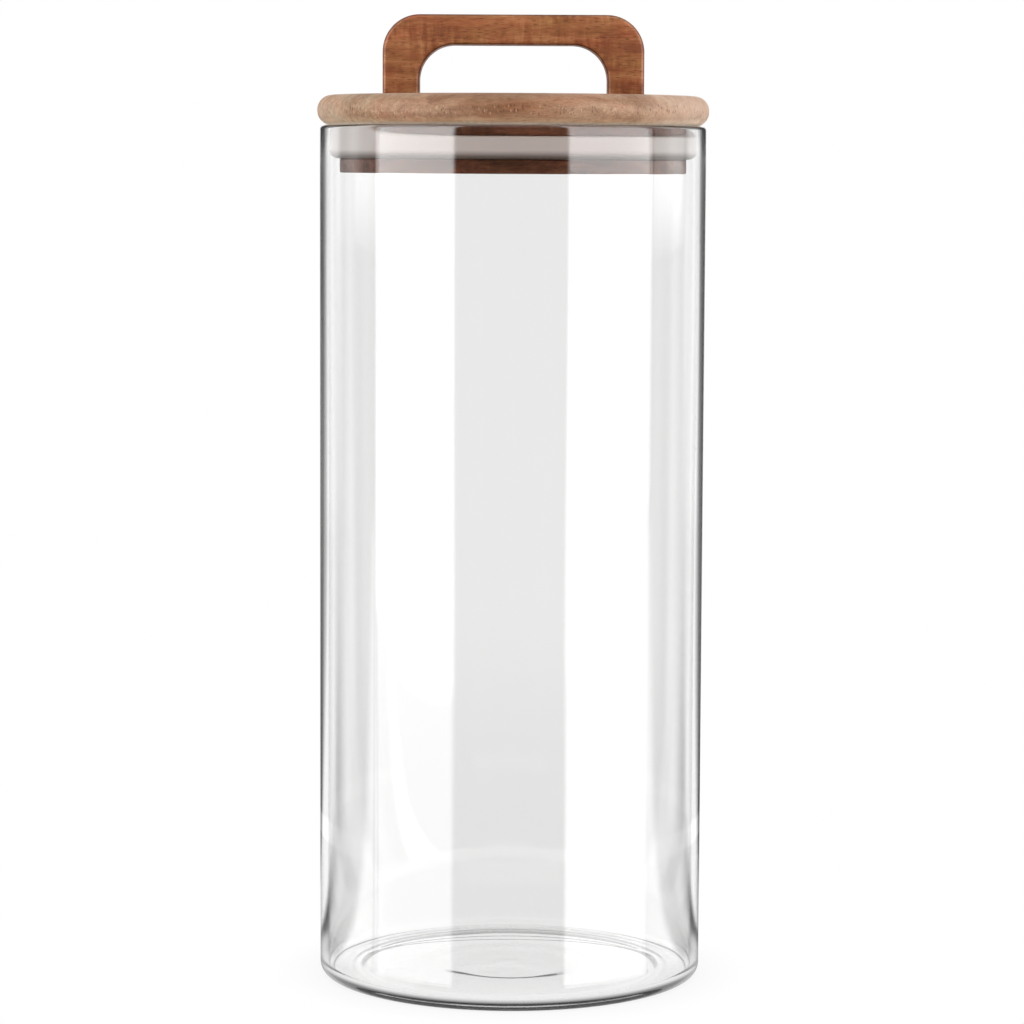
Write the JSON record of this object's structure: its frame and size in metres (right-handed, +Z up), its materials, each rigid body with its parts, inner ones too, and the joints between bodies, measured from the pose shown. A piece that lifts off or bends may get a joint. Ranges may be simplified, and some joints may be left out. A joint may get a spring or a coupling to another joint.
{
  "type": "glass storage jar",
  "caption": "Tall straight glass storage jar with a wooden plug lid, a soft seal ring and a bridge handle; the lid lifts off and turns freely.",
  "frame": {"origin": "centre of the circle the jar stands on", "axes": "+Z up along the jar's axis; the lid's handle spans along X; the pictured side faces -Y"},
  "size_m": [0.1216, 0.1216, 0.3006],
  "materials": {
    "clear_glass": "clear, polished",
    "pale_wood": "sanded, lightly oiled",
    "dark_wood": "sanded, lightly oiled",
    "handle_wood": "sanded, lightly oiled",
    "silicone": "translucent, satin",
    "steel": "bright"
  },
  "bodies": {
    "jar": {"jar": "clear_glass"},
    "seal": {"seal_ring": "silicone"},
    "lid": {"lid_disc": "pale_wood", "lid_plug": "dark_wood", "handle": "handle_wood", "handle_screws": "steel"}
  },
  "joints": [
    {"name": "lid_lift", "type": "slide", "parent": "jar", "child": "seal", "axis": [0, 0, 1], "range_m": [0, 0.15]},
    {"name": "lid_twist", "type": "hinge", "parent": "seal", "child": "lid", "pos_m": [0, 0, 0.26], "axis": [0, 0, 1], "continuous": true}
  ]
}
